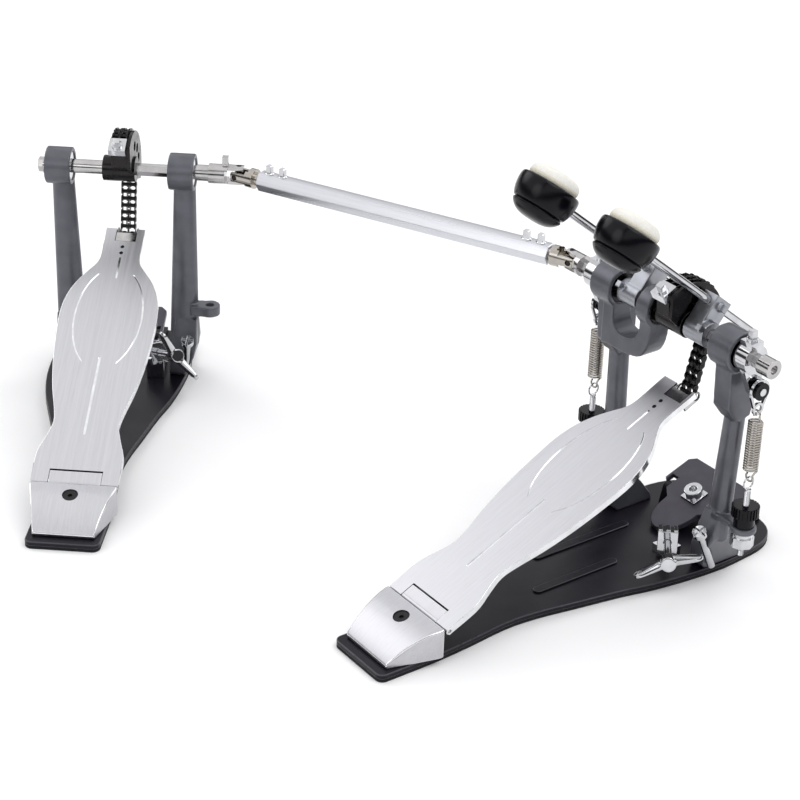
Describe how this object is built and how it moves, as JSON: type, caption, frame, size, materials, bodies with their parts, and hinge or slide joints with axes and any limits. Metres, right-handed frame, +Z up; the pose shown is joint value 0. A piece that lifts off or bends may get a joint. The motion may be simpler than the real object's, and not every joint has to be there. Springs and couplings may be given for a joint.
{
  "type": "bass drum pedal",
  "caption": "Double bass drum pedal: two hinged footboards chain-drive two beaters through a telescoping drive shaft with universal joints.",
  "frame": {"origin": "on the floor straight under the middle of the main pedal's axle", "axes": "+X to the player's right along the main axle, +Y towards the drum, +Z up from the floor"},
  "size_m": [0.6903, 0.513, 0.3371],
  "materials": {
    "pad_rubber": "matte",
    "base_black": "satin black paint",
    "cast_grey": "satin dark grey cast paint",
    "cast_silver": "bead-blasted silver casting",
    "brushed": "long-grain brushed aluminium with polished edges",
    "chrome": "polished chrome",
    "steel": "turned steel",
    "nickel": "nickel-plated spring wire",
    "black_oxide": "blackened steel",
    "black_plastic": "gloss black moulding",
    "felt": "cream pressed felt"
  },
  "bodies": {
    "main_base": {"base_pad_right": "pad_rubber", "base_plate_right": "base_black", "heel_plate_right": "brushed", "post_outer_right": "cast_grey", "post_inner_right": "cast_grey", "bearings_right": "steel", "fasteners_right": "chrome", "hoop_clamp_body_right": "base_black", "spring_rods": "steel"},
    "right_board": {"footboard_right": "brushed", "chain_clamp_right": "cast_silver"},
    "right_shaft": {"main_shaft": "steel", "cam_right": "black_oxide", "chain_anchor_right": "chrome", "chain_wrap_right": "black_oxide", "beater_holder_right": "cast_silver", "rocker_right": "chrome"},
    "right_beater": {"beater_rod_right": "chrome", "beater_head_right": "black_plastic", "beater_pad_right": "felt"},
    "right_chain_upper": {"chain_upper_right": "black_oxide"},
    "right_chain_middle": {"chain_middle_right": "black_oxide"},
    "right_chain_lower": {"chain_span_right": "black_oxide"},
    "right_stirrup": {"spring_stirrup_right": "chrome"},
    "right_coil": {"spring_coil_right": "nickel"},
    "left_hub_body": {"left_hub": "steel", "beater_holder_left": "cast_silver", "rocker_left": "chrome"},
    "left_beater": {"beater_rod_left": "chrome", "beater_head_left": "black_plastic", "beater_pad_left": "felt"},
    "left_stirrup": {"spring_stirrup_left": "chrome"},
    "left_coil": {"spring_coil_left": "nickel"},
    "right_knob": {"tension_knob_right": "black_plastic"},
    "left_knob": {"tension_knob_left": "black_plastic"},
    "right_jaw": {"clamp_jaw_right": "cast_grey"},
    "right_wing": {"wing_bolt_right": "chrome"},
    "main_cross": {"joint_cross_right": "steel"},
    "drive_tube_body": {"drive_tube": "brushed", "tube_yoke_right": "steel"},
    "slave_base": {"base_pad_left": "pad_rubber", "base_plate_left": "base_black", "heel_plate_left": "brushed", "post_outer_left": "cast_grey", "post_inner_left": "cast_grey", "bearings_and_fasteners_left": "chrome", "hoop_clamp_body_left": "base_black"},
    "drive_rod_body": {"drive_rod_left": "steel"},
    "slave_cross": {"joint_cross_left": "steel"},
    "left_board": {"footboard_left": "brushed", "chain_clamp_left": "cast_silver"},
    "slave_shaft_body": {"slave_shaft": "steel", "cam_left": "black_oxide", "chain_anchor_left": "chrome", "chain_wrap_left": "black_oxide"},
    "left_chain_upper": {"chain_upper_left": "black_oxide"},
    "left_chain_middle": {"chain_middle_left": "black_oxide"},
    "left_chain_lower": {"chain_span_left": "black_oxide"},
    "left_jaw": {"clamp_jaw_left": "cast_grey"},
    "left_wing": {"wing_bolt_left": "chrome"}
  },
  "joints": [
    {"name": "right_pedal", "type": "hinge", "parent": "main_base", "child": "right_board", "pos_m": [0, -0.23, 0.028], "axis": [1, 0, 0], "range_deg": [-6.1, 0], "stiffness_Nm_per_rad": 20, "springref_deg": 4.58},
    {"name": "main_axle", "type": "hinge", "parent": "main_base", "child": "right_shaft", "pos_m": [0, 0, 0.208], "axis": [1, 0, 0], "range_deg": [-44.85, 0]},
    {"name": "right_chain_top_link", "type": "hinge", "parent": "right_shaft", "child": "right_chain_upper", "pos_m": [0, 0.0272, 0.22485], "axis": [1, 0, 0], "range_deg": [0, 20.86]},
    {"name": "right_chain_middle_link", "type": "hinge", "parent": "right_chain_upper", "child": "right_chain_middle", "pos_m": [0, 0.0316, 0.21303], "axis": [1, 0, 0], "range_deg": [0, 21.3]},
    {"name": "right_chain_low_link", "type": "hinge", "parent": "right_chain_middle", "child": "right_chain_lower", "pos_m": [0, 0.03109, 0.20042], "axis": [1, 0, 0], "range_deg": [0, 13.54]},
    {"name": "right_beater_height", "type": "slide", "parent": "right_shaft", "child": "right_beater", "axis": [0, -0.788, 0.6157], "range_m": [-0.015, 0.015]},
    {"name": "right_stirrup_pivot", "type": "hinge", "parent": "right_shaft", "child": "right_stirrup", "pos_m": [0, 0.00748, 0.18102], "axis": [1, 0, 0], "range_deg": [0, 59.49]},
    {"name": "right_spring_stretch", "type": "slide", "parent": "right_stirrup", "child": "right_coil", "axis": [0, 0, -1], "range_m": [0, 0.0036], "deforming": ["spring_coil_right"]},
    {"name": "drive_shaft_length", "type": "slide", "parent": "main_base", "child": "slave_base", "axis": [-0.9118, -0.4105, 0], "range_m": [-0.003, 0.05]},
    {"name": "left_pedal", "type": "hinge", "parent": "slave_base", "child": "left_board", "pos_m": [-0.29881, -0.35584, 0.028], "axis": [0.6428, 0.766, 0], "range_deg": [-6.1, 0], "stiffness_Nm_per_rad": 20, "springref_deg": 4.58},
    {"name": "slave_axle", "type": "hinge", "parent": "slave_base", "child": "slave_shaft_body", "pos_m": [-0.475, -0.208, 0.208], "axis": [0.6428, 0.766, 0], "range_deg": [-44.85, 0]},
    {"name": "left_chain_top_link", "type": "hinge", "parent": "slave_shaft_body", "child": "left_chain_upper", "pos_m": [-0.49584, -0.19051, 0.22485], "axis": [0.6428, 0.766, 0], "range_deg": [0, 20.86]},
    {"name": "left_chain_middle_link", "type": "hinge", "parent": "left_chain_upper", "child": "left_chain_middle", "pos_m": [-0.49921, -0.18769, 0.21303], "axis": [0.6428, 0.766, 0], "range_deg": [0, 21.3]},
    {"name": "left_chain_low_link", "type": "hinge", "parent": "left_chain_middle", "child": "left_chain_lower", "pos_m": [-0.49882, -0.18802, 0.20042], "axis": [0.6428, 0.766, 0], "range_deg": [0, 13.54]},
    {"name": "slave_joint_cross", "type": "hinge", "parent": "slave_shaft_body", "child": "slave_cross", "pos_m": [-0.40944, -0.12986, 0.208], "axis": [0, 0, 1], "range_deg": [0, 5.8]},
    {"name": "drive_rod_turn", "type": "hinge", "parent": "slave_base", "child": "drive_rod_body", "pos_m": [-0.40944, -0.12986, 0.208], "axis": [0.9118, 0.4105, 0], "range_deg": [-41.48, 0]},
    {"name": "drive_tube_turn", "type": "hinge", "parent": "main_base", "child": "drive_tube_body", "pos_m": [-0.121, 0, 0.208], "axis": [0.9118, 0.4105, 0], "range_deg": [-41.48, 0]},
    {"name": "left_hub_turn", "type": "hinge", "parent": "main_base", "child": "left_hub_body", "pos_m": [0, 0, 0.208], "axis": [1, 0, 0], "range_deg": [-44.38, 0]},
    {"name": "main_joint_cross", "type": "hinge", "parent": "left_hub_body", "child": "main_cross", "pos_m": [-0.121, 0, 0.208], "axis": [0, 0, 1], "range_deg": [-5.5, 0]},
    {"name": "left_beater_height", "type": "slide", "parent": "left_hub_body", "child": "left_beater", "axis": [0, -0.788, 0.6157], "range_m": [-0.015, 0.015]},
    {"name": "left_stirrup_pivot", "type": "hinge", "parent": "left_hub_body", "child": "left_stirrup", "pos_m": [0, 0.00748, 0.18102], "axis": [1, 0, 0], "range_deg": [0, 59.49]},
    {"name": "left_spring_stretch", "type": "slide", "parent": "left_stirrup", "child": "left_coil", "axis": [0, 0, -1], "range_m": [0, 0.0036], "deforming": ["spring_coil_left"]},
    {"name": "right_tension_knob", "type": "hinge", "parent": "main_base", "child": "right_knob", "pos_m": [0.0875, 0.00748, 0.084], "axis": [0, 0, 1], "continuous": true},
    {"name": "left_tension_knob", "type": "hinge", "parent": "main_base", "child": "left_knob", "pos_m": [-0.092, 0.00748, 0.084], "axis": [0, 0, 1], "continuous": true},
    {"name": "right_wing_bolt", "type": "hinge", "parent": "main_base", "child": "right_wing", "pos_m": [0.015, 0.001, 0.018], "axis": [0.7307, -0.6579, 0.1822], "range_deg": [0, 1080]},
    {"name": "right_hoop_jaw", "type": "hinge", "parent": "main_base", "child": "right_jaw", "pos_m": [-0.014, 0.056, 0.0195], "axis": [1, 0, 0], "range_deg": [-9.2, 0]},
    {"name": "left_wing_bolt", "type": "hinge", "parent": "slave_base", "child": "left_wing", "pos_m": [-0.46506, -0.18371, 0.03], "axis": [0.9327, -0.1145, 0.342], "range_deg": [0, 1080]},
    {"name": "left_hoop_jaw", "type": "hinge", "parent": "slave_base", "child": "left_jaw", "pos_m": [-0.5269, -0.18273, 0.0195], "axis": [0.6428, 0.766, 0], "range_deg": [-9.2, 0]}
  ],
  "couplings": [
    {"joint": "main_axle", "follows": "right_pedal", "ratio": 7.3203},
    {"joint": "right_chain_top_link", "follows": "right_pedal", "ratio": -3.3872},
    {"joint": "right_chain_middle_link", "follows": "right_pedal", "ratio": -3.4584},
    {"joint": "right_chain_low_link", "follows": "right_pedal", "ratio": -2.1871},
    {"joint": "right_stirrup_pivot", "follows": "right_pedal", "ratio": -9.72},
    {"joint": "right_spring_stretch", "follows": "right_pedal", "m_per_rad": -0.0329},
    {"joint": "slave_axle", "follows": "left_pedal", "ratio": 7.3203},
    {"joint": "left_chain_top_link", "follows": "left_pedal", "ratio": -3.3872},
    {"joint": "left_chain_middle_link", "follows": "left_pedal", "ratio": -3.4584},
    {"joint": "left_chain_low_link", "follows": "left_pedal", "ratio": -2.1871},
    {"joint": "slave_joint_cross", "follows": "left_pedal", "ratio": -0.918},
    {"joint": "drive_rod_turn", "follows": "left_pedal", "ratio": 6.7676},
    {"joint": "drive_tube_turn", "follows": "left_pedal", "ratio": 6.7676},
    {"joint": "left_hub_turn", "follows": "left_pedal", "ratio": 7.2434},
    {"joint": "main_joint_cross", "follows": "left_pedal", "ratio": 0.869},
    {"joint": "left_stirrup_pivot", "follows": "left_pedal", "ratio": -9.72},
    {"joint": "left_spring_stretch", "follows": "left_pedal", "m_per_rad": -0.0329},
    {"joint": "right_hoop_jaw", "follows": "right_wing_bolt", "ratio": -0.00833},
    {"joint": "left_hoop_jaw", "follows": "left_wing_bolt", "ratio": -0.00833}
  ]
}
